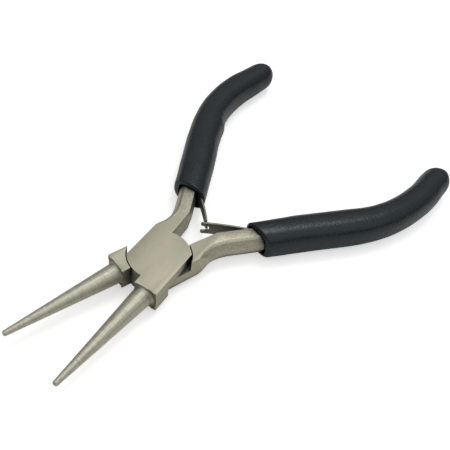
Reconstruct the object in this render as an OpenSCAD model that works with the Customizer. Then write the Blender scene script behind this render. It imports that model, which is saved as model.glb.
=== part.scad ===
// Round nose pliers for jewellery work: lap joint, two turned conical jaws,
// slip-on handle sleeves and a pair of hooked leaf springs.
// Frame: origin where the pivot axis meets the ground outer face of the lower
// plate, +Z along the pivot axis, handles towards +Y, jaws towards -Y.
// Drawn with the springs relaxed, so the jaws stand open.
// Both halves are the same forging: the upper half is the lower one turned over.

/* [Joint] */
// Width across the ground plates
plate_w = 12.5; // [12:0.1:13]
// Thickness of the joint, both plates together
joint_t = 6.1; // [5.8:0.1:6.4]
// Radius of the round end of each lap plate
plate_r = 7.7; // [7.5:0.05:7.8]
// Radius of the pocket that the other plate turns in
pocket_r = 7.98; // [7.9:0.01:8.1]
// Gap between the two lapped plates
lap_gap = 0.04; // [0.02:0.01:0.08]
// Distance from the pivot to the front of the jaw blocks
block_front = 10.2; // [9.8:0.1:10.6]
// Gap left beside the closing plane by each jaw block
block_gap = 0.2; // [0.2:0.01:0.3]
// Radius of the pivot rivet
rivet_r = 2.4; // [2:0.1:2.8]
// Running clearance of the rivet in the upper half
rivet_clear = 0.03; // [0.02:0.01:0.06]

/* [Opening] */
// Angle between the two halves with the springs relaxed
open_deg = 20.8; // [18:0.1:23]

/* [Jaws] */
// Length of each cone in front of its block
cone_len = 29; // [24:0.5:32]
// Radius of the cone at the block
cone_r1 = 2.58; // [2.4:0.02:2.7]
// Radius of the cone at the tip
cone_r2 = 0.66; // [0.5:0.02:0.9]
// Distance of the cone's axis from the closing plane at the block
cone_x1 = 2.78; // [2.7:0.01:2.9]
// Distance of the cone's axis from the closing plane at the tip
cone_x2 = 1.40; // [1.36:0.01:1.5]

/* [Handles] */
// Angle of the straight part of the handle from the Y axis
handle_deg = 22.4; // [21:0.1:24]
// Bend of the handle back towards the other one
bend_deg = 33.9; // [28:0.1:36]
// Radius of that bend, on the sleeve's centre line
bend_r = 43; // [40:0.5:46]
// Half the width of the steel handle at its parting line
steel_a = 2.4; // [2.2:0.05:2.45]
// Offset of the steel handle outwards from the sleeve's centre line
steel_off = 0.25; // [0.2:0.05:0.4]

/* [Sleeves] */
// Half the width of the sleeve, in the plane of the pliers
sleeve_a = 4.5; // [4.4:0.05:4.9]
// Half the thickness of the sleeve
sleeve_b = 4.3; // [4.2:0.05:4.6]
// Corner radius of the sleeve's section
sleeve_r = 3.1; // [2.5:0.1:3.4]
// How far past the design line the lower half's sleeve is pushed off
lower_shift = 1.5; // [0.8:0.1:2]
// How far past the design line the upper half's sleeve is pushed off
upper_shift = 0.9; // [0.6:0.1:2]
// Slant of the sleeve's mouth, its inner side nearer the joint
mouth_slant = 15.5; // [0:0.5:18]

/* [Springs] */
// Thickness of the leaf
leaf_t = 0.45; // [0.4:0.05:0.55]
// Width of the leaf
leaf_w = 3.8; // [3.4:0.1:4.4]
// Length of the forked blade
fork_len = 12.3; // [12:0.1:12.6]
// Length of the tongued blade
tongue_blade_len = 12.7; // [12.4:0.1:13]
// Angle of the forked blade from its handle
fork_lean = 24.8; // [24:0.1:26]
// Angle of the tongued blade from its handle
tongue_lean = 28; // [27.5:0.1:28.5]
// Width of the notch in the forked blade
notch_w = 1.6; // [1.5:0.05:1.8]
// Depth of the notch
notch_len = 2.6; // [2.5:0.1:2.8]
// Width of the tongue that stands in the notch
tongue_w = 1.2; // [1:0.05:1.25]
// Length of the narrow end of the tongued blade
tongue_len = 2.6; // [2.4:0.1:2.8]
// Width of the tongued leaf
tongue_leaf_w = 3.1; // [2.9:0.1:3.6]

/* [Hidden] */
$fn = 96;
half_t = joint_t / 2;
half_w = plate_w / 2;

// Steel section: a level band at the parting line, drafted sides, and a bevel
// on the outer side only.
band_z = 0.8;
draft_z = 2.6;
draft_in = 0.85;
bevel_in = 1.5;
inner_in = 0.6;
// Overlap of neighbouring lengths of a sweep, and how much slimmer the bend is
lap = 0.3;
step = 0.02;
corner_steps = 6;

// Design line of the sleeve in the lower half's own frame
line_x = 6.61;
line_y = 23.3;
straight_len = 29.1;
tail_len = 8.8;
steel_start = -11;
steel_tail = 5;

// Ground flank, neck and shoulder of the forging
wall_lo = [1.4, 7.4];
wall_hi = [2.05, 19.0];
neck_r = 8;
neck_c = [13.93, 12.95];
flat_c = [-2, 8.5];
flat_r = 7;
turned_face_r = 3.7;
turned_face_in = 0.15;

// Spring: where the blade leaves its foot, across the design line and along it
leaf_across = -2.5;
leaf_along = 0.31;
fork_curve = 10;
tongue_curve = 16;
tongue_along = 0.8;
leaf_gap = 0.05;
foot_len = 12;
rivet_at = 8;
spring_rivet_r = 0.8;
spring_head_r = 1.3;
spring_head_t = 0.35;
slot_out = 3.35;

// Point at a distance along the straight part of the design line
function on_line(s, across) =
    [line_x + s * sin(handle_deg) + across * cos(handle_deg),
     line_y + s * cos(handle_deg) - across * sin(handle_deg)];

// Outer half of the steel section, grown by g all round
function steel_side(g) =
    [[steel_a - bevel_in + g, -half_t - g], [steel_a - draft_in + g, -draft_z - g],
     [steel_a + g, -band_z], [steel_a + g, band_z],
     [steel_a - draft_in + g, draft_z + g], [steel_a - bevel_in + g, half_t + g]];
// Inner half: draft only, drawn on the right
function steel_inner(g) =
    [[steel_a - inner_in + g, -half_t - g], [steel_a + g, -band_z],
     [steel_a + g, band_z], [steel_a - inner_in + g, half_t + g]];
function mirrored(p) = [for (i = [len(p) - 1:-1:0]) [-p[i].x, p[i].y]];

// Closed outline of the steel section, grown by g all round
function steel_pts(g) = concat(steel_side(g), mirrored(steel_inner(g)));

// Outline of a rectangle 2a by 2b with corners of radius r
function rounded_pts(a, b, r) =
    [for (q = [0:3], i = [0:corner_steps])
        let (t = 90 * q + 90 * i / corner_steps,
             sx = (q == 0 || q == 3) ? 1 : -1, sy = q < 2 ? 1 : -1)
        [sx * (a - r) + r * cos(t), sy * (b - r) + r * sin(t)]];

// Places a shape drawn about the straight line's start, with +Y along the handle
module along_line(s, across) {
    p = on_line(s, across);
    translate([p.x, p.y, 0])
        rotate([0, 0, -handle_deg])
            children();
}

// Straight bar of a section, from y = 0 along +Y
module bar(pts, len) {
    rotate([90, 0, 0])
        mirror([0, 0, 1])
            linear_extrude(len)
                polygon(pts);
}

// Sweeps a section along the handle: straight, bend, tail. The bend is a hair
// slimmer than its neighbours, which run a little way over it.
module sweep(across, start, tail, pts, bend_pts) {
    along_line(start, across)
        bar(pts, straight_len - start + lap);
    e = on_line(straight_len, -bend_r);
    translate([e.x, e.y, 0])
        rotate([0, 0, -handle_deg]) {
            rotate_extrude(angle = bend_deg, $fn = 180)
                translate([bend_r + across, 0])
                    polygon(bend_pts);
            rotate([0, 0, bend_deg])
                translate([bend_r + across, -lap, 0])
                    bar(pts, tail + lap);
        }
}

// Round end in plan: half the sleeve's section turned about the end of the tail
module sleeve_end() {
    e = on_line(straight_len, -bend_r);
    full = rounded_pts(sleeve_a - step, sleeve_b - step, sleeve_r);
    translate([e.x, e.y, 0])
        rotate([0, 0, -handle_deg + bend_deg])
            translate([bend_r, tail_len, 0])
                rotate_extrude()
                    polygon(concat([[0, -sleeve_b + step]],
                                   [for (p = full) if (p.x > 0 && p.y < 0) p],
                                   [for (p = full) if (p.x > 0 && p.y >= 0) p],
                                   [[0, sleeve_b - step]]));
}

// Spool that leaves the concave side of the neck; bevel 1 adds the top bevel
module neck_cutter(bevel) {
    out = bevel ? bevel_in : draft_in;
    z1 = bevel ? draft_z : half_t + 1;
    translate([neck_c.x, neck_c.y, 0])
        rotate_extrude($fn = 180)
            polygon([[0, -half_t - 1], [neck_r + out, -half_t - 1], [neck_r + out, -half_t],
                     [neck_r + draft_in, -min(z1, draft_z)], [neck_r, -band_z],
                     [neck_r, band_z], [neck_r + draft_in, min(z1, draft_z)],
                     [neck_r + out, half_t], [neck_r + out, half_t + 1], [0, half_t + 1]]);
}

// Shoulder and neck up to the start of the straight handle
module neck_blank() {
    t = on_line((16 - line_y) / cos(handle_deg) + 1.1, steel_off + steel_a);
    c = on_line((16 - line_y) / cos(handle_deg) + 1.1, steel_off - 1);
    translate([0, 0, -half_t])
        linear_extrude(joint_t)
            polygon([[0.8, 0], [half_w, 0], [half_w, 13], t, c, [0.8, 15]]);
}

module neck() {
    difference() {
        intersection() {
            neck_blank();
            translate([flat_c.x, flat_c.y, -joint_t])
                cylinder(r = flat_r, h = 2 * joint_t);
        }
        neck_cutter(0);
    }
    difference() {
        neck_blank();
        neck_cutter(1);
    }
}

// Everything on the far side of the ground inner wall of the neck
module wall_cutter() {
    d = wall_hi - wall_lo;
    far = wall_hi + d * 0.6;
    near = wall_lo - d * 0.02;
    translate([0, 0, -joint_t])
        linear_extrude(2 * joint_t)
            polygon([near, far, [-8, far.y], [-8, near.y]]);
}

// Turned cone with a blended root and a round tip, along +Y
module cone_jaw() {
    root = 0.55;
    tip = 0.35;
    slope = (cone_r1 - cone_r2) / cone_len;
    rotate([-90, 0, 0])
        rotate_extrude()
            polygon(concat(
                [[0, -0.6], [cone_r1 + root, -0.6]],
                [for (a = [0:15:90])
                    [cone_r1 + root - root * sin(a) - (a == 90 ? slope * root : 0),
                     root - root * cos(a)]],
                [[cone_r2 + tip * slope, cone_len - tip]],
                [for (a = [15:15:90])
                    [cone_r2 - tip + tip * cos(a), cone_len - tip + tip * sin(a)]],
                [[0, cone_len]]));
}

module jaw() {
    lean = atan((cone_x1 - cone_x2) / cone_len);
    // block, with its front face turned down around the cone
    difference() {
        translate([-half_w, -block_front, -half_t])
            cube([half_w - block_gap, block_front, joint_t]);
        translate([-cone_x1, -block_front - 1, 0])
            rotate([-90, 0, 0])
                cylinder(r = turned_face_r, h = 1 + turned_face_in);
    }
    intersection() {
        translate([-cone_x1, -block_front + turned_face_in, 0])
            rotate([0, 0, 180 + lean])
                cone_jaw();
        translate([-half_w, -block_front - cone_len - 1, -half_t])
            cube([half_w - block_gap, cone_len + 3, joint_t]);
    }
}

// One forging, as the lower half lies: its plate is the bottom layer
module half_forging(bore) {
    difference() {
        union() {
            intersection() {
                translate([0, 0, -half_t])
                    cylinder(r = plate_r, h = half_t - lap_gap / 2);
                translate([-half_w, -plate_r, -half_t])
                    cube([plate_w, 2 * plate_r, half_t]);
            }
            difference() {
                union() {
                    jaw();
                    difference() {
                        union() {
                            neck();
                            sweep(steel_off, steel_start, steel_tail,
                                  steel_pts(0), steel_pts(-step));
                        }
                        wall_cutter();
                    }
                }
                translate([0, 0, -lap_gap / 2])
                    cylinder(r = pocket_r, h = joint_t);
                translate([-half_w - 1, -1, -joint_t])
                    cube([half_w, 1.5, 2 * joint_t]);
            }
        }
        translate([0, 0, -joint_t])
            cylinder(r = bore, h = 2 * joint_t);
        along_line(leaf_along + rivet_at, 0)
            rotate([0, -90, 0])
                cylinder(r = spring_rivet_r, h = 10);
    }
}

// Turns a shape from the lower half's frame to where each half lies at rest
module as_lower() {
    translate([0, 0, half_t])
        rotate([0, 0, -open_deg / 2])
            children();
}
module as_upper() {
    translate([0, 0, half_t])
        rotate([0, 0, open_deg / 2])
            rotate([0, 180, 0])
                children();
}

module lower_half() {
    color([0.69, 0.68, 0.61])
        as_lower()
            half_forging(rivet_r);
}

module upper_half() {
    color([0.69, 0.68, 0.61])
        as_upper()
            half_forging(rivet_r + rivet_clear);
}

// Rivet through both plates, ground flush with their outer faces
module pivot_rivet() {
    color([0.66, 0.65, 0.59])
        cylinder(r = rivet_r, h = joint_t);
}

// Slip-on sleeve with a channel for the steel, the leaf and its rivet
module sleeve(shift) {
    difference() {
        union() {
            sweep(0, shift - 1.6, tail_len,
                  rounded_pts(sleeve_a, sleeve_b, sleeve_r),
                  rounded_pts(sleeve_a - step, sleeve_b - step, sleeve_r));
            sleeve_end();
        }
        sweep(steel_off, shift - 3, steel_tail + 0.2, steel_pts(0.05), steel_pts(0.05 + step));
        along_line(shift, 0)
            rotate([0, 0, mouth_slant])
                translate([-10, -10, -10])
                    cube([20, 10, 20]);
        along_line(shift - 3, 0)
            translate([-slot_out, 0, -leaf_w / 2 - 0.1])
                cube([slot_out - 1, foot_len + 4, leaf_w + 0.2]);
    }
}

module lower_sleeve() {
    color([0.17, 0.18, 0.20])
        as_lower()
            sleeve(lower_shift);
}

module upper_sleeve() {
    color([0.17, 0.18, 0.20])
        as_upper()
            sleeve(upper_shift);
}

// Leaf foot: flat strip of width w along the handle, held by its rivet
module leaf_foot(start, w) {
    difference() {
        along_line(start, leaf_across)
            translate([-leaf_t / 2, leaf_t / 2 + leaf_gap, -w / 2])
                cube([leaf_t, foot_len, w]);
        along_line(leaf_along + rivet_at, leaf_across)
            rotate([0, 90, 0])
                cylinder(r = spring_rivet_r, h = 4, center = true);
    }
}

// Centre line of a blade: an arc that leaves the foot at an angle g.x, turns by
// g.y and is g.z long
function blade_dir(g, u) = g.x - g.y * u;
function blade_pt(g, u) =
    let (r = g.z * 180 / PI / g.y, a = blade_dir(g, u))
    [r * (cos(g.x) - cos(a)), r * (sin(a) - sin(g.x))];
function blade_side(g, u) =
    leaf_t / 2 * [cos(blade_dir(g, u)), -sin(blade_dir(g, u))];

// Part of a blade between two fractions of its length
module blade_strip(g, u0, u1, w) {
    us = [for (i = [0:8]) u0 + (u1 - u0) * i / 8];
    translate([0, 0, -w / 2])
        linear_extrude(w)
            polygon(concat(
                [for (u = us) blade_pt(g, u) + blade_side(g, u)],
                [for (i = [8:-1:0]) blade_pt(g, us[i]) - blade_side(g, us[i])]));
}

module blade_root(w) {
    cylinder(r = leaf_t / 2, h = w, center = true, $fn = 48);
}

module fork_blade() {
    g = [fork_lean, fork_curve, fork_len];
    tip = blade_pt(g, 1);
    along_line(leaf_along, leaf_across) {
        blade_root(leaf_w);
        difference() {
            blade_strip(g, 0, 1, leaf_w);
            translate([tip.x, tip.y, 0])
                rotate([0, 0, -blade_dir(g, 1)])
                    translate([-2, notch_len - notch_w / 2, 0])
                        rotate([0, 90, 0]) {
                            cylinder(r = notch_w / 2, h = 4);
                            translate([-notch_w / 2, -notch_len, 0])
                                cube([notch_w, notch_len, 4]);
                        }
        }
    }
}

module tongue_blade() {
    g = [tongue_lean, tongue_curve, tongue_blade_len];
    full = 1 - tongue_len / tongue_blade_len;
    along_line(tongue_along, leaf_across) {
        blade_root(tongue_leaf_w);
        blade_strip(g, 0, full, tongue_leaf_w);
        blade_strip(g, full - 0.02, 1, tongue_w);
    }
}

// Small rivet through the foot into the handle
module leaf_rivet() {
    along_line(leaf_along + rivet_at, leaf_across - leaf_t / 2) {
        rotate([0, 90, 0])
            cylinder(r = spring_rivet_r, h = 3);
        translate([-spring_head_t, 0, 0])
            rotate([0, 90, 0])
                cylinder(r = spring_head_r, h = spring_head_t);
    }
}

module fork_leaf_foot() {
    color([0.47, 0.46, 0.42])
        as_lower()
            leaf_foot(leaf_along, leaf_w);
}

module fork_leaf_blade() {
    color([0.47, 0.46, 0.42])
        as_lower()
            fork_blade();
}

module fork_leaf_rivet() {
    color([0.6, 0.59, 0.55])
        as_lower()
            leaf_rivet();
}

module tongue_leaf_foot() {
    color([0.47, 0.46, 0.42])
        as_upper()
            leaf_foot(tongue_along, tongue_leaf_w);
}

module tongue_leaf_blade() {
    color([0.47, 0.46, 0.42])
        as_upper()
            tongue_blade();
}

module tongue_leaf_rivet() {
    color([0.6, 0.59, 0.55])
        as_upper()
            leaf_rivet();
}

lower_half();
upper_half();
pivot_rivet();
lower_sleeve();
upper_sleeve();
fork_leaf_foot();
fork_leaf_blade();
fork_leaf_rivet();
tongue_leaf_foot();
tongue_leaf_blade();
tongue_leaf_rivet();
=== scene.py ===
import math

import bmesh
import bpy
from mathutils import Matrix, Vector, noise


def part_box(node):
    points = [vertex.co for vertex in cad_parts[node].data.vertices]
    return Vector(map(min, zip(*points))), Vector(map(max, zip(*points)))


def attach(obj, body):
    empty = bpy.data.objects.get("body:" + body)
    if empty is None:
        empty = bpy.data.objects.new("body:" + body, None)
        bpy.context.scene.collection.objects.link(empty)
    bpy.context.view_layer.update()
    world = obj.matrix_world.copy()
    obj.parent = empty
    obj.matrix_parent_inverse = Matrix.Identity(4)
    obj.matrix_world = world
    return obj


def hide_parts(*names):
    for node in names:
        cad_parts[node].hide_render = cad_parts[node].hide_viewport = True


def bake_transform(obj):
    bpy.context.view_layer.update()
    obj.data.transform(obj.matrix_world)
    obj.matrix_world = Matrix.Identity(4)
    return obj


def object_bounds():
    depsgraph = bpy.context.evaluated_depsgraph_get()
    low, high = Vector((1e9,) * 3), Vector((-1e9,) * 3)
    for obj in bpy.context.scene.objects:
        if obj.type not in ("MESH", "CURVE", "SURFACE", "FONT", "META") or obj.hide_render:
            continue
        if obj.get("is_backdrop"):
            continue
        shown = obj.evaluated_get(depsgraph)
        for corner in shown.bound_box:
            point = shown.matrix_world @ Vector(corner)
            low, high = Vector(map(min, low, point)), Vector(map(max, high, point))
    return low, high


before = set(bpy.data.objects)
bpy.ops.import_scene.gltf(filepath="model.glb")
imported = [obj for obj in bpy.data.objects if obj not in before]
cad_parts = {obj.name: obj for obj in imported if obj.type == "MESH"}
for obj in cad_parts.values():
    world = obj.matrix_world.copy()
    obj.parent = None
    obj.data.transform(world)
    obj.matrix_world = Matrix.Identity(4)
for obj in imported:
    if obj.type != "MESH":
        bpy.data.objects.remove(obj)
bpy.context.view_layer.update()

# ---------------------------------------------------------------- frame of each half
# Lengths are in millimetres and angles in degrees, as in part.scad. Each half has a frame of its
# own: the origin on the pivot, +y towards the handle, +x outward, z = 0 where the plates meet.
MM = 0.001
OPEN_DEG = 20.8

# The handle's centre line: straight for a while, then bent on an arc, then straight again
HANDLE_DEG = 22.4
BEND_DEG = 33.9
BEND_R = 43.0
LINE_START = (6.61, 23.3)
STRAIGHT_LEN = 29.1

# The forging: half its thickness, how far ahead of the pivot its block ends, and how far out
# the cone's axis is at its root and at its tip
HALF_T = 3.05
BLOCK_FRONT = 10.2
CONE_X1, CONE_X2, CONE_LEN = 2.78, 1.40, 29.0

rivet_lo, rivet_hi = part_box("pivot_rivet")
PIVOT = (rivet_lo + rivet_hi) / 2

TO_LOWER = Matrix.Translation(PIVOT) @ Matrix.Rotation(math.radians(-OPEN_DEG / 2), 4, "Z")
TO_UPPER = (Matrix.Translation(PIVOT) @ Matrix.Rotation(math.radians(OPEN_DEG / 2), 4, "Z")
            @ Matrix.Rotation(math.pi, 4, "Y"))
HALVES = {"lower": TO_LOWER, "upper": TO_UPPER}


def smooth(low, high, x):
    """0 below low, 1 above high and eased between them."""
    t = min(max((x - low) / (high - low), 0.0), 1.0)
    return t * t * (3 - 2 * t)


def place(half, point):
    """From a half's own frame in millimetres to the shared frame in metres."""
    return HALVES[half] @ (Vector(point) * MM)


def handle_line(s, across=0.0):
    """Point, heading and outward side of the handle's centre line at length s, in mm."""
    h = math.radians(HANDLE_DEG)
    bend = BEND_R * math.radians(BEND_DEG)
    heading = Vector((math.sin(h), math.cos(h), 0))
    side = Vector((math.cos(h), -math.sin(h), 0))
    start = Vector((*LINE_START, 0))
    if s <= STRAIGHT_LEN:
        return start + heading * s + side * across, heading, side
    centre = start + heading * STRAIGHT_LEN - side * BEND_R
    turned = h - min(s - STRAIGHT_LEN, bend) / BEND_R
    heading = Vector((math.sin(turned), math.cos(turned), 0))
    side = Vector((math.cos(turned), -math.sin(turned), 0))
    beyond = max(s - STRAIGHT_LEN - bend, 0.0)
    return centre + side * (BEND_R + across) + heading * beyond, heading, side


# ---------------------------------------------------------------- node helpers
class Nodes:
    """Short way to build a material's node tree."""

    def __init__(self, name):
        self.material = bpy.data.materials.new(name)
        self.material.use_nodes = True
        self.tree = self.material.node_tree
        self.tree.nodes.clear()
        self.out = self.add("OutputMaterial")

    def add(self, kind, **settings):
        node = self.tree.nodes.new("ShaderNode" + kind)
        for key, value in settings.items():
            setattr(node, key, value)
        return node

    def link(self, source, target):
        self.tree.links.new(source, target)

    def value(self, node, name, value):
        """Sets an input to a number or colour, or links a socket to it."""
        if hasattr(value, "is_linked"):
            self.link(value, node.inputs[name])
        else:
            node.inputs[name].default_value = value

    def noise(self, coords, scale, detail, rough):
        n = self.add("TexNoise")
        self.value(n, "Vector", coords)
        self.value(n, "Scale", scale)
        self.value(n, "Detail", detail)
        self.value(n, "Roughness", rough)
        return n.outputs["Fac"]

    def math(self, op, a, b=0.0):
        n = self.add("Math", operation=op)
        self.value(n, 0, a)
        self.value(n, 1, b)
        return n.outputs[0]

    def remap(self, x, lo, hi, to_lo=0.0, to_hi=1.0):
        n = self.add("MapRange")
        for name, v in (("Value", x), ("From Min", lo), ("From Max", hi),
                        ("To Min", to_lo), ("To Max", to_hi)):
            self.value(n, name, v)
        return n.outputs["Result"]

    def mix(self, fac, a, b):
        """Colour a where fac is 0, b where it is 1."""
        n = self.add("Mix", data_type="RGBA")
        fac_in, a_in, b_in, colour_out = 0, 6, 7, 2
        self.value(n, fac_in, fac)
        self.value(n, a_in, a)
        self.value(n, b_in, b)
        return n.outputs[colour_out]

    def split(self, vector):
        """The X, Y and Z sockets of a vector."""
        n = self.add("SeparateXYZ")
        self.value(n, 0, vector)
        return n.outputs

    def bump(self, height, distance, strength):
        n = self.add("Bump")
        self.value(n, "Height", height)
        self.value(n, "Distance", distance)
        self.value(n, "Strength", strength)
        return n.outputs["Normal"]

    def principled(self, **inputs):
        """The surface; an input's name is given with _ in place of its spaces."""
        p = self.add("BsdfPrincipled")
        for name, v in inputs.items():
            self.value(p, name.replace("_", " "), v)
        self.link(p.outputs[0], self.out.inputs[0])

    def open_sides(self, reach):
        """1 on open surfaces, falling towards 0 where something stands within reach, in mm."""
        ao = self.add("AmbientOcclusion", samples=8)
        self.value(ao, "Distance", reach * MM)
        return ao.outputs["AO"]


def scaled(n, coords, factors):
    """Coordinates multiplied by a vector."""
    m = n.add("VectorMath", operation="MULTIPLY")
    n.value(m, 0, coords)
    m.inputs[1].default_value = factors
    return m.outputs[0]


def local_mm(n):
    """The piece's own coordinates in millimetres, stored on its points as 'local'."""
    return n.add("Attribute", attribute_name="local").outputs["Vector"]


# ---------------------------------------------------------------- materials
STEEL = (0.56, 0.535, 0.42, 1)
STEEL_DARK = (0.46, 0.44, 0.345, 1)
STEEL_LIGHT = (0.70, 0.675, 0.565, 1)
STEEL_SPARK = (0.80, 0.755, 0.62, 1)
# painted shade: the dark colour the steel is mixed towards in its crevices and the joint
CREVICE_SHADE = (0.05, 0.062, 0.07, 1)
STRIP, STRIP_DARK = (0.35, 0.35, 0.32, 1), (0.26, 0.26, 0.24, 1)
VINYL, VINYL_PALE = (0.010, 0.0145, 0.018, 1), (0.013, 0.0185, 0.022, 1)
VINYL_SCUFF = (0.018, 0.026, 0.031, 1)
VINYL_TINT = (0.84, 0.96, 1.0, 1)

# The ground flat ends across the neck where GROUND_LINE . (x, y) reaches GROUND_END; all of the
# plate and block, up to y = BODY_END, is ground
GROUND_LINE, GROUND_END = (0.894, 0.447), 9.4
BODY_END = 7.2


def crevice_shade(n, colour):
    """Darkens the colour where the steel meets itself, by ambient occlusion: painted shade in the
    joint and its crevices.
    """
    unshaded = n.math("POWER", n.open_sides(3.0), 2.4)
    return n.mix(unshaded, CREVICE_SHADE, colour)


def forged_steel():
    """Ground faces are an even satin; the neck and handle are blasted and speckled."""
    n = Nodes("forged_steel")
    p = local_mm(n)
    at = n.split(p)
    grain = n.noise(p, 2.6, 4, 0.75)
    blast = n.noise(p, 2.8, 5, 0.8)
    clouds = n.noise(p, 0.4, 4, 0.62)
    drawn = n.noise(scaled(n, p, (0.5, 5.0, 0.5)), 1.6, 3, 0.6)
    pits = n.noise(p, 1.1, 2, 0.5)
    # the clouds make the end of the grinding a little ragged
    across = n.math("ADD", n.math("MULTIPLY", at["X"], GROUND_LINE[0]),
                    n.math("MULTIPLY", at["Y"], GROUND_LINE[1]))
    across = n.math("ADD", across, n.math("MULTIPLY", clouds, 0.6))
    flat = n.remap(n.math("ABSOLUTE", at["Z"]), HALF_T - 0.08, HALF_T - 0.03)
    top = n.math("MULTIPLY", n.remap(across, GROUND_END + 0.5, GROUND_END + 0.2), flat)
    body = n.remap(at["Y"], BODY_END + 0.4, BODY_END)
    ground = n.math("MAXIMUM", top, body)
    blasted = n.math("SUBTRACT", 1.0, ground)

    smooth_colour = n.mix(n.remap(clouds, 0.35, 0.7, 0.0, 0.35), STEEL, STEEL_DARK)
    smooth_colour = n.mix(n.remap(grain, 0.4, 0.7, 0.0, 0.45), smooth_colour, STEEL_LIGHT)
    smooth_colour = n.mix(n.remap(pits, 0.24, 0.19, 0.0, 0.5), smooth_colour, STEEL_DARK)
    rough_colour = n.mix(n.remap(clouds, 0.3, 0.72, 0.2, 0.8), STEEL, STEEL_DARK)
    rough_colour = n.mix(n.remap(blast, 0.46, 0.62, 0.0, 0.8), rough_colour, STEEL_SPARK)
    colour = n.mix(blasted, smooth_colour, rough_colour)
    smooth_height = n.math("ADD", n.math("MULTIPLY", grain, 0.25), n.math("MULTIPLY", drawn, 0.12))
    height = n.math("ADD", n.math("MULTIPLY", smooth_height, ground),
                    n.math("MULTIPLY", blast, blasted))
    roughness = n.math("ADD", n.remap(grain, 0.3, 0.7, 0.5, 0.62),
                       n.math("MULTIPLY", blasted, -0.16))
    # the base colour carries painted shade in the crevices
    n.principled(Base_Color=crevice_shade(n, colour), Metallic=1.0, Roughness=roughness,
                 Normal=n.bump(height, 0.07 * MM, 0.8))
    return n.material


def turned_steel():
    """Cones: fine tool marks that run round the cone's own axis."""
    n = Nodes("turned_steel")
    p = local_mm(n)
    lean = math.atan((CONE_X1 - CONE_X2) / CONE_LEN)
    mapping = n.add("Mapping", vector_type="POINT")
    n.value(mapping, "Vector", p)
    mapping.inputs["Rotation"].default_value = (0, 0, -lean)
    marks = n.noise(scaled(n, mapping.outputs[0], (0.08, 1, 0.08)), 2.4, 5, 0.75)
    fine = n.noise(p, 2.4, 5, 0.8)
    height = n.math("ADD", n.math("MULTIPLY", marks, 0.7), n.math("MULTIPLY", fine, 0.6))
    colour = n.mix(n.remap(marks, 0.35, 0.65), STEEL_DARK, STEEL_LIGHT)
    colour = n.mix(n.remap(fine, 0.42, 0.6, 0.0, 0.8), colour, STEEL_LIGHT)
    # the base colour carries painted shade in the crevices, as at the cone's root
    n.principled(Base_Color=crevice_shade(n, colour), Metallic=1.0,
                 Roughness=n.remap(fine, 0.3, 0.7, 0.34, 0.5),
                 Normal=n.bump(height, 0.13 * MM, 0.9))
    return n.material


def spring_steel():
    """Leaf springs: dull tempered strip."""
    n = Nodes("spring_strip")
    p = local_mm(n)
    clouds = n.noise(p, 0.6, 4, 0.6)
    drawn = n.noise(scaled(n, p, (0.4, 4.0, 8.0)), 1.2, 4, 0.6)
    colour = n.mix(n.remap(clouds, 0.3, 0.7), STRIP, STRIP_DARK)
    n.principled(Base_Color=colour, Metallic=0.9,
                 Roughness=n.remap(drawn, 0.3, 0.7, 0.38, 0.52),
                 Normal=n.bump(drawn, 0.01 * MM, 0.6))
    return n.material


def grip_vinyl():
    """Soft dark vinyl with a fine leathery skin and a satin sheen."""
    n = Nodes("grip_vinyl")
    p = local_mm(n)
    skin = n.noise(p, 1.5, 4, 0.65)
    cells = n.add("TexVoronoi", feature="SMOOTH_F1")
    n.value(cells, "Vector", p)
    n.value(cells, "Scale", 1.7)
    broad = n.noise(p, 0.25, 3, 0.5)
    height = n.math("ADD", n.math("MULTIPLY", skin, 0.8),
                    n.math("MULTIPLY", cells.outputs["Distance"], 0.6))
    colour = n.mix(n.remap(broad, 0.3, 0.7), VINYL, VINYL_PALE)
    colour = n.mix(n.remap(skin, 0.55, 0.8, 0.0, 0.5), colour, VINYL_SCUFF)
    # painted shade: ambient occlusion takes the sheen down, so the inside of the mouth and its cut
    # face stay dark
    sheen_less_in_shade = n.remap(n.open_sides(4.0), 0.45, 0.8, 0.05, 0.5)
    n.principled(Base_Color=colour, Roughness=n.remap(skin, 0.3, 0.75, 0.24, 0.36),
                 IOR=1.5, Specular_IOR_Level=sheen_less_in_shade, Specular_Tint=VINYL_TINT,
                 Normal=n.bump(height, 0.075 * MM, 0.9))
    return n.material


MAT = {"forged": forged_steel(), "turned": turned_steel(),
       "spring": spring_steel(), "grip": grip_vinyl()}


# ---------------------------------------------------------------- mesh helpers
def new_object(name, bm, materials, half):
    """Makes the object and stores its local millimetre coordinates."""
    mesh = bpy.data.meshes.new(name)
    bm.to_mesh(mesh)
    bm.free()
    for m in materials:
        mesh.materials.append(m)
    back = HALVES[half].inverted()
    local = mesh.attributes.new("local", "FLOAT_VECTOR", "POINT")
    for i, v in enumerate(mesh.vertices):
        local.data[i].vector = back @ v.co / MM
    obj = bpy.data.objects.new(name, mesh)
    bpy.context.scene.collection.objects.link(obj)
    return obj


def sharpen(mesh, degrees):
    """Smooth faces, with edges steeper than the angle kept sharp."""
    mesh.shade_smooth()
    mesh.set_sharp_from_angle(angle=math.radians(degrees))


# ---------------------------------------------------------------- the two forged halves
# The CAD mesh is cleaned first: points closer than WELD are joined, faces within FLAT_DEG merged
WELD, FLAT_DEG = 0.002, 0.5
# Edges steeper than EDGE_DEG are broken, and shading is sharp past SHARP_DEG
EDGE_DEG, SHARP_DEG = 14, 24
BORE_R = 2.43
NECK_START = 10
# Widths that edges are broken by: crisp on ground edges, soft on the neck's outer edges
CRISP, SOFT = 0.09, 0.6


def edge_width(mid):
    """How far the edge with this middle point is broken, in mm."""
    if math.hypot(mid.x, mid.y) < BORE_R + 0.1:
        return 0.0
    h = math.radians(HANDLE_DEG)
    outward = (mid.x - LINE_START[0]) * math.cos(h) - (mid.y - LINE_START[1]) * math.sin(h)
    on_flat = abs(mid.z) > HALF_T - 0.02
    return SOFT if mid.y > NECK_START and outward > 0.25 and on_flat else CRISP


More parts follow.
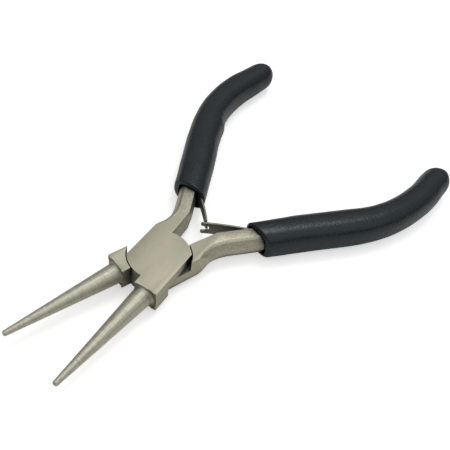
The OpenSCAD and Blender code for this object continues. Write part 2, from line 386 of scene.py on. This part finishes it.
def forged_half(half):
    """The CAD half with its edges broken; its cone gets the turned steel."""
    node = half + "_half"
    bm = bmesh.new()
    bm.from_mesh(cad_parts[node].data)
    bmesh.ops.remove_doubles(bm, verts=bm.verts, dist=WELD * MM)
    bmesh.ops.dissolve_limit(bm, angle_limit=math.radians(FLAT_DEG), verts=bm.verts,
                             edges=bm.edges)
    back = HALVES[half].inverted()
    weight = bm.edges.layers.float.new("bevel_weight_edge")
    for e in bm.edges:
        if len(e.link_faces) == 2 and e.calc_face_angle(0.0) > math.radians(EDGE_DEG):
            mid = back @ ((e.verts[0].co + e.verts[1].co) / 2) / MM
            e[weight] = edge_width(mid) / SOFT
    blank = bpy.data.meshes.new("blank")
    bm.to_mesh(blank)
    bm.free()
    temp = bpy.data.objects.new("blank", blank)
    bpy.context.scene.collection.objects.link(temp)
    bevel = temp.modifiers.new("broken_edges", "BEVEL")
    bevel.limit_method = "WEIGHT"
    bevel.width = SOFT * MM
    bevel.segments = 3
    bevel.use_clamp_overlap = True
    bm = bmesh.new()
    bm.from_object(temp, bpy.context.evaluated_depsgraph_get())
    bpy.data.objects.remove(temp)
    bpy.data.meshes.remove(blank)
    # turned steel: what stands ahead of the block, apart from faces that point forward
    for f in bm.faces:
        centre = back @ f.calc_center_median() / MM
        normal = back.to_3x3() @ f.normal
        ahead = centre.y < -BLOCK_FRONT + 0.2
        f.material_index = int(ahead and abs(normal.y) < 0.9)
    obj = new_object(node + "_steel", bm, (MAT["forged"], MAT["turned"]), half)
    sharpen(obj.data, SHARP_DEG)
    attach(obj, half)
    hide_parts(node)


for half_name in HALVES:
    forged_half(half_name)

# The leaves' rivets are hidden in the sleeves, so they stay CAD nodes
for rivet_name in ("fork_leaf_rivet", "tongue_leaf_rivet"):
    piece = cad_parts[rivet_name]
    piece.data.materials.clear()
    piece.data.materials.append(MAT["forged"])


# The rivet fills its bore a little past the wall and ends just under the ground flats
RIVET_SIDES = 72
RIVET_R = BORE_R + 0.04
RIVET_HALF = HALF_T - 0.006
RIVET_SHARP_DEG = 40


def pivot_rivet():
    """Ground flush with both plates: it fills the bore, and its outline barely shows."""
    bm = bmesh.new()
    turns = [2 * math.pi * i / RIVET_SIDES for i in range(RIVET_SIDES)]
    top, bottom = ([bm.verts.new(place("lower", (RIVET_R * math.cos(a), RIVET_R * math.sin(a), z)))
                    for a in turns] for z in (RIVET_HALF, -RIVET_HALF))
    bm.faces.new(top)
    bm.faces.new(bottom)
    for i in range(RIVET_SIDES):
        j = (i + 1) % RIVET_SIDES
        bm.faces.new((top[i], top[j], bottom[j], bottom[i]))
    bmesh.ops.recalc_face_normals(bm, faces=bm.faces)
    obj = new_object("pivot_rivet_flush", bm, (MAT["forged"],), "lower")
    sharpen(obj.data, RIVET_SHARP_DEG)
    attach(obj, "lower")
    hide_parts("pivot_rivet")


pivot_rivet()


# ---------------------------------------------------------------- sleeves
SLEEVE_SIDES = 120
STATION_STEP = 0.5
# Section: half its thickness, and the power of its oval (2 is an ellipse, more is squarer)
SLEEVE_HALF_Z, SECTION_POWER = 4.45, 2.4
# Changes along the sleeve (from, to, amount): fuller past the mouth, thinner and rounder behind
MOUTH_SWELL = (0, 8, 0.15)
TAIL_THINNING = (36, 66, 0.35)
TAIL_ROUNDING = (50, 64, 0.4)
# Bore round the handle core, with room for the leaf's foot on the inner side near the mouth
BORE_X, BORE_Z, BORE_POWER, BORE_SHIFT = 2.75, 3.3, 3.6, 0.25
LEAF_ROOM, ROOM_ENDS = 0.75, (12, 15)
BORE_STATIONS, BORE_TO_TIP = 24, 8
# Cut mouth: the depth, power and turn between rings of its rounded edges; how far its face
# slopes back from the bore to the outside; and its slant, which fades between two lengths
RIM_DEPTH, RIM_POWER, RIM_TURN = 0.45, 4.0, 15
FACE_SLOPE = 0.5
MOUTH_SLANT = math.tan(math.radians(23))
SLANT_FADE = (1, 12)
# Closed end: the length of its dome and the turn between its rings, in degrees
DOME, DOME_TURN = 4.3, 6
# A dipped sleeve is never quite even: height and scale of its swells
SWELL, SWELL_SCALE = 0.05, 0.22
# Half-widths of each sleeve at lengths along the handle: (length, inner, outer)
SLEEVE_WIDTHS = {
    "lower": ((0, 4.2, 4.45), (4, 4.3, 4.4), (14, 4.9, 4.3), (26, 4.8, 4.55), (36, 4.25, 4.3),
              (48, 4.25, 4.05), (56, 4.15, 4.25), (62, 4.5, 3.85), (68, 4.5, 3.2)),
    "upper": ((0, 4.5, 4.45), (4, 4.6, 4.5), (14, 4.77, 4.72), (23, 4.55, 4.85), (27, 4.7, 4.75),
              (30, 5.0, 4.65), (33, 4.6, 4.5), (36, 4.35, 4.45), (48, 4.4, 4.3), (56, 4.3, 4.5),
              (62, 4.1, 4.55), (68, 3.6, 3.9)),
}


def change(span, s):
    """How much of a change (from, to, amount) has built up at length s."""
    start, end, amount = span
    return amount * smooth(start, end, s)


def width_at(table, s):
    """Half-widths at length s, eased from one station to the next."""
    if s <= table[0][0]:
        return table[0][1:]
    for (s0, *w0), (s1, *w1) in zip(table, table[1:]):
        if s <= s1:
            t = smooth(s0, s1, s)
            return [u + (v - u) * t for u, v in zip(w0, w1)]
    return table[-1][1:]


def bulge(x, power):
    """x from -1 to 1, pushed outward; with cosine and sine it makes a squarish oval."""
    return math.copysign(abs(x) ** (2 / power), x)


def sleeve_outer(half, s, angle):
    """Outline of the sleeve across the handle at length s."""
    inner, outer = width_at(SLEEVE_WIDTHS[half], s)
    half_x = outer if math.cos(angle) > 0 else inner
    half_z = SLEEVE_HALF_Z + change(MOUTH_SWELL, s) - change(TAIL_THINNING, s)
    power = SECTION_POWER - change(TAIL_ROUNDING, s)
    return half_x * bulge(math.cos(angle), power), half_z * bulge(math.sin(angle), power)


def sleeve_bore(half, s, angle):
    """Outline of the bore: close round the steel, wider on the leaf's side near the mouth."""
    x = BORE_X * bulge(math.cos(angle), BORE_POWER) + BORE_SHIFT
    if x < 0:
        room = LEAF_ROOM * (1 - smooth(*ROOM_ENDS, s))
        x -= room * abs(math.cos(angle)) ** 0.5
    return x, BORE_Z * bulge(math.sin(angle), BORE_POWER)


def sleeve(half, mouth, lean, tip):
    """A slip-on vinyl sleeve: slanted cut mouth, bore, gentle taper, round closed end.

    mouth and tip are lengths along the handle, and lean tilts the mouth from top to bottom.
    """
    bm = bmesh.new()
    angles = [2 * math.pi * i / SLEEVE_SIDES for i in range(SLEEVE_SIDES)]
    up = 1 if half == "lower" else -1
    rings = []

    def slanted(s):
        """How much of the mouth's slant is left at length s."""
        return 1 - smooth(*SLANT_FADE, s - mouth)

    def ring(s, outline, shrink=1.0, tilt=0.0, mix=None):
        """One ring; mix goes from the bore's outline (-1) to the outer one (1) at the mouth."""
        verts = []
        for a in angles:
            x, z = outline(half, s, a)
            if mix is not None:
                bx, bz = sleeve_bore(half, s, a)
                x, z = (x + bx) / 2 + (x - bx) / 2 * mix, (z + bz) / 2 + (z - bz) / 2 * mix
            x, z = x * shrink, z * shrink
            centre, _, side = handle_line(s + tilt * (MOUTH_SLANT * x - lean * z * up))
            verts.append(bm.verts.new(place(half, centre + side * x + Vector((0, 0, z)))))
        rings.append(verts)

    # the bore, from its closed end out to the mouth
    bore_end = tip - BORE_TO_TIP
    for k in range(BORE_STATIONS):
        s = bore_end + (mouth + RIM_DEPTH - bore_end) * k / BORE_STATIONS
        ring(s, sleeve_bore, tilt=slanted(s))
    # the cut face of the mouth, with both its edges rounded
    for turn in range(180, -1, -RIM_TURN):
        across = bulge(math.cos(math.radians(turn)), RIM_POWER)
        rounding = RIM_DEPTH * (1 - bulge(math.sin(math.radians(turn)), RIM_POWER))
        ring(mouth + rounding + FACE_SLOPE * (across + 1) / 2, sleeve_outer, tilt=1, mix=across)
    # the outside, and the dome that closes it
    first = mouth + RIM_DEPTH + FACE_SLOPE
    last = tip - DOME
    count = int((last - first) / STATION_STEP)
    for k in range(1, count + 1):
        s = first + (last - first) * k / count
        ring(s, sleeve_outer, tilt=slanted(s))
    for degrees in range(DOME_TURN, 90, DOME_TURN):
        t = math.radians(degrees)
        ring(last + DOME * math.sin(t), sleeve_outer, shrink=math.cos(t))
    for a, b in zip(rings, rings[1:]):
        for i in range(SLEEVE_SIDES):
            j = (i + 1) % SLEEVE_SIDES
            bm.faces.new((a[i], a[j], b[j], b[i]))
    bm.faces.new(list(reversed(rings[0])))
    bm.faces.new(rings[-1])
    bmesh.ops.recalc_face_normals(bm, faces=bm.faces)
    for v in bm.verts:
        v.co += v.normal * SWELL * MM * noise.noise(v.co / MM * SWELL_SCALE)
    name = half + "_sleeve"
    obj = new_object(name + "_grip", bm, (MAT["grip"],), half)
    obj.data.shade_smooth()
    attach(obj, half)
    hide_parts(name)


sleeve("lower", mouth=1.6, lean=0.1, tip=68.1)
sleeve("upper", mouth=0.15, lean=0.127, tip=68.2)


# ---------------------------------------------------------------- leaf springs
# A leaf is drawn flat and then bent. u runs along it: the foot below 0, the free blade above.
LEAF_T, LEAF_BEVEL = 0.45, 0.07
# Its foot lies on the inner side of the handle, and the bend takes BEND_HALF on each side of u = 0
LEAF_ACROSS = -2.5
BEND_HALF, BLEND_END = 0.7, 3.0
# Steps of the sum along its curve, spacing of its cross cuts and points on a rounded corner
PATH_STEP, CUT_STEP, ARC_POINTS = 0.05, 0.35, 7
RIM_DEG, LEAF_SHARP_DEG = 50, 40


def rounded_outline(corners):
    """Closed outline with each corner (x, y, radius) rounded by an arc."""
    pts = []
    count = len(corners)
    for i, (x, y, r) in enumerate(corners):
        p = Vector((x, y))
        before = (Vector(corners[i - 1][:2]) - p).normalized()
        after = (Vector(corners[(i + 1) % count][:2]) - p).normalized()
        half = before.angle(after) / 2
        reach = r / math.tan(half)
        centre = p + (before + after).normalized() * (r / math.sin(half))
        a0, a1 = p + before * reach - centre, p + after * reach - centre
        for k in range(ARC_POINTS):
            pts.append(centre + a0.slerp(a1, k / (ARC_POINTS - 1)).normalized() * r)
    return pts


def leaf_angle(u, lean, curve, length):
    """The leaf's angle to the handle at u: 0 on the foot, lean past the bend, curve less at
    the end."""
    blade = math.radians(lean - curve * max(u, 0) / length)
    return blade * smooth(-BEND_HALF, BEND_HALF, u)


def leaf_path(u, lean, curve, length, start):
    """Point and normal of a leaf's centre line at u, added up in short steps from the bend."""
    step = math.copysign(PATH_STEP, u)
    count = int(abs(u) / PATH_STEP)
    x = y = at = 0.0
    for k in range(count + 1):
        ds = step if k < count else u - at
        a = leaf_angle(at + ds / 2, lean, curve, length)
        x -= math.sin(a) * ds
        y -= math.cos(a) * ds
        at += ds
    a = leaf_angle(u, lean, curve, length)
    origin, heading, side = handle_line(start, LEAF_ACROSS)
    point = origin + side * x + heading * y
    normal = side * math.cos(a) - heading * math.sin(a)
    return point, normal


def leaf(half, kind, outline, lean, curve, length, start):
    """One bent strip, foot and blade together."""
    bm = bmesh.new()
    bm.faces.new([bm.verts.new((p.x, p.y, 0)) for p in rounded_outline(outline)])
    low = min(p[0] for p in outline)
    high = max(p[0] for p in outline)
    cuts = int((high - low) / CUT_STEP)
    for k in range(1, cuts):
        cut = low + (high - low) * k / cuts
        bmesh.ops.bisect_plane(bm, geom=bm.verts[:] + bm.edges[:] + bm.faces[:],
                               plane_co=(cut, 0, 0), plane_no=(1, 0, 0), dist=1e-5)
    made = bmesh.ops.extrude_face_region(bm, geom=bm.faces[:])
    top = [g for g in made["geom"] if isinstance(g, bmesh.types.BMVert)]
    bmesh.ops.translate(bm, verts=top, vec=(0, 0, LEAF_T))
    bmesh.ops.recalc_face_normals(bm, faces=bm.faces)
    rim = [e for e in bm.edges if e.calc_face_angle(0.0) > math.radians(RIM_DEG)]
    bmesh.ops.bevel(bm, geom=rim, offset=LEAF_BEVEL, offset_type="OFFSET", segments=2,
                    profile=0.5, affect="EDGES", clamp_overlap=True)
    for v in bm.verts:
        u, across, up = v.co
        point, normal = leaf_path(u, lean, curve, length, start)
        v.co = place(half, point + normal * (up - LEAF_T / 2) + Vector((0, 0, across)))
    # on a thin strip, recalculated normals can all come out inward
    bmesh.ops.recalc_face_normals(bm, faces=bm.faces)
    if bm.calc_volume(signed=True) < 0:
        bmesh.ops.reverse_faces(bm, faces=bm.faces)
    name = kind + "_leaf"
    obj = new_object(name + "_strip", bm, (MAT["spring"],), half)
    sharpen(obj.data, LEAF_SHARP_DEG)
    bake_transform(obj)
    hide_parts(name + "_foot", name + "_blade")


# Widths and lengths of the notched leaf and of the tongued one; FOOT is the riveted part
FORK_W, NOTCH_W, NOTCH_LEN, FORK_LEN = 3.8, 1.6, 2.15, 12.3
TONGUE_W, TIP_W, TIP_LEN, TONGUE_LEN = 3.1, 1.25, 2.5, 12.7
FOOT = 12.0


def both_sides(corners):
    """An outline from its corners on the -y side, mirrored to the +y side."""
    return corners + [(x, -y, r) for x, y, r in reversed(corners)]


fork_outline = both_sides([(-FOOT, -FORK_W / 2, 0.5), (FORK_LEN, -FORK_W / 2, 0.5),
                           (FORK_LEN, -NOTCH_W / 2, 0.45),
                           (FORK_LEN - NOTCH_LEN, -NOTCH_W / 2, 0.5)])
tongue_outline = both_sides([(-FOOT, -TONGUE_W / 2, 0.5),
                             (TONGUE_LEN - TIP_LEN, -TONGUE_W / 2, 0.3),
                             (TONGUE_LEN - TIP_LEN, -TIP_W / 2, 0.15),
                             (TONGUE_LEN, -TIP_W / 2, 0.4)])
leaf("lower", "fork", fork_outline, lean=24.8, curve=10, length=FORK_LEN, start=0.31)
leaf("upper", "tongue", tongue_outline, lean=28, curve=16, length=TONGUE_LEN, start=0.8)


# ---------------------------------------------------------------- floor, light, camera
# Half the floor's side in metres, and its gap below the tool in millimetres
FLOOR_HALF, FLOOR_GAP = 3.0, 0.02
FLOOR_SEEN, FLOOR_GLOW = (0.95, 0.95, 0.945, 1), 0.54
FLOOR_BOUNCE = (0.84, 0.84, 0.825, 1)


def floor():
    """Pale paper: it glows a little to the camera, and bounces a plain pale tone."""
    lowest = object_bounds()[0].z
    bm = bmesh.new()
    bmesh.ops.create_grid(bm, x_segments=1, y_segments=1, size=FLOOR_HALF)
    mesh = bpy.data.meshes.new("floor")
    bm.to_mesh(mesh)
    bm.free()
    obj = bpy.data.objects.new("floor", mesh)
    bpy.context.scene.collection.objects.link(obj)
    obj.location = (0, 0, lowest - FLOOR_GAP * MM)
    n = Nodes("floor_paper")
    rays = n.add("LightPath")
    paper = n.add("BsdfDiffuse")
    n.value(paper, "Color", FLOOR_SEEN)
    glow = n.add("Emission")
    n.value(glow, "Strength", FLOOR_GLOW)
    seen = n.add("AddShader")
    n.link(paper.outputs[0], seen.inputs[0])
    n.link(glow.outputs[0], seen.inputs[1])
    bounced = n.add("BsdfDiffuse")
    n.value(bounced, "Color", FLOOR_BOUNCE)
    mix = n.add("MixShader")
    n.link(rays.outputs["Is Camera Ray"], mix.inputs[0])
    n.link(bounced.outputs[0], mix.inputs[1])
    n.link(seen.outputs[0], mix.inputs[2])
    n.link(mix.outputs[0], n.out.inputs[0])
    mesh.materials.append(n.material)
    obj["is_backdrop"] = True


# Square lights aimed at the tool: name, place and side in metres, power in watts
LIGHT_TARGET = (0, 0.02, 0)
LIGHTS = (("key_softbox", (-0.04, 0.21, 0.49), 0.22, 0.48),
          ("side_softbox", (0.45, 0.0, 0.42), 0.6, 0.3),
          ("streak_lamp", (-0.04, 0.19, 0.5), 0.035, 0.03))
# The room's light overhead and at the horizon, which ends at a height of HORIZON_TOP
ROOM_COLOUR = (1.0, 1.0, 0.99, 1)
ROOM_OVERHEAD, ROOM_HORIZON, HORIZON_TOP = 0.67, 0.07, 0.05


def area_light(name, location, side, power):
    data = bpy.data.lights.new(name, "AREA")
    data.shape = "SQUARE"
    data.size = side
    data.energy = power
    obj = bpy.data.objects.new(name, data)
    bpy.context.scene.collection.objects.link(obj)
    obj.location = location
    aim = Vector(LIGHT_TARGET) - Vector(location)
    obj.rotation_euler = aim.to_track_quat("-Z", "Y").to_euler()


def room():
    """A plain room, darker at the horizon; the camera sees it as white."""
    world = bpy.data.worlds.new("studio")
    bpy.context.scene.world = world
    world.use_nodes = True
    tree = world.node_tree
    tree.nodes.clear()
    out = tree.nodes.new("ShaderNodeOutputWorld")
    rays = tree.nodes.new("ShaderNodeLightPath")
    lit = tree.nodes.new("ShaderNodeBackground")
    coords = tree.nodes.new("ShaderNodeTexCoord")
    height = tree.nodes.new("ShaderNodeSeparateXYZ")
    tree.links.new(coords.outputs["Generated"], height.inputs[0])
    ramp = tree.nodes.new("ShaderNodeMapRange")
    tree.links.new(height.outputs["Z"], ramp.inputs["Value"])
    ramp.inputs["From Min"].default_value = HORIZON_TOP
    ramp.inputs["To Min"].default_value = ROOM_HORIZON
    ramp.inputs["To Max"].default_value = ROOM_OVERHEAD
    lit.inputs["Color"].default_value = ROOM_COLOUR
    tree.links.new(ramp.outputs["Result"], lit.inputs["Strength"])
    seen = tree.nodes.new("ShaderNodeBackground")
    seen.inputs["Color"].default_value = (1, 1, 1, 1)
    mix = tree.nodes.new("ShaderNodeMixShader")
    tree.links.new(rays.outputs["Is Camera Ray"], mix.inputs[0])
    tree.links.new(lit.outputs[0], mix.inputs[1])
    tree.links.new(seen.outputs[0], mix.inputs[2])
    tree.links.new(mix.outputs[0], out.inputs[0])


# The camera's place off the pivot and its lens and sensor in mm, its direction in degrees and
# the range it sees in metres
CAM_FROM_PIVOT = (68.4, -76.45, 124.51)
CAM_AZIMUTH, CAM_ELEVATION, CAM_ROLL = 33.94, 46.63, 10.22
LENS, SENSOR = 53.4, 36
CLIP_NEAR, CLIP_FAR = 0.005, 20


def camera():
    """The camera stands off the pivot, turned about its own axis by the roll."""
    data = bpy.data.cameras.new("camera")
    data.sensor_width = SENSOR
    data.lens = LENS
    data.clip_start = CLIP_NEAR
    data.clip_end = CLIP_FAR
    obj = bpy.data.objects.new("camera", data)
    bpy.context.scene.collection.objects.link(obj)
    a, e = math.radians(CAM_AZIMUTH), math.radians(CAM_ELEVATION)
    back = Vector((math.sin(a) * math.cos(e), -math.cos(a) * math.cos(e), math.sin(e)))
    level = (-back).to_track_quat("-Z", "Y").to_matrix().to_4x4()
    obj.matrix_world = (Matrix.Translation(PIVOT + Vector(CAM_FROM_PIVOT) * MM) @ level
                        @ Matrix.Rotation(math.radians(CAM_ROLL), 4, "Z"))
    bpy.context.scene.camera = obj


floor()
for light in LIGHTS:
    area_light(*light)
room()
camera()
bpy.context.scene.view_settings.view_transform = "Standard"
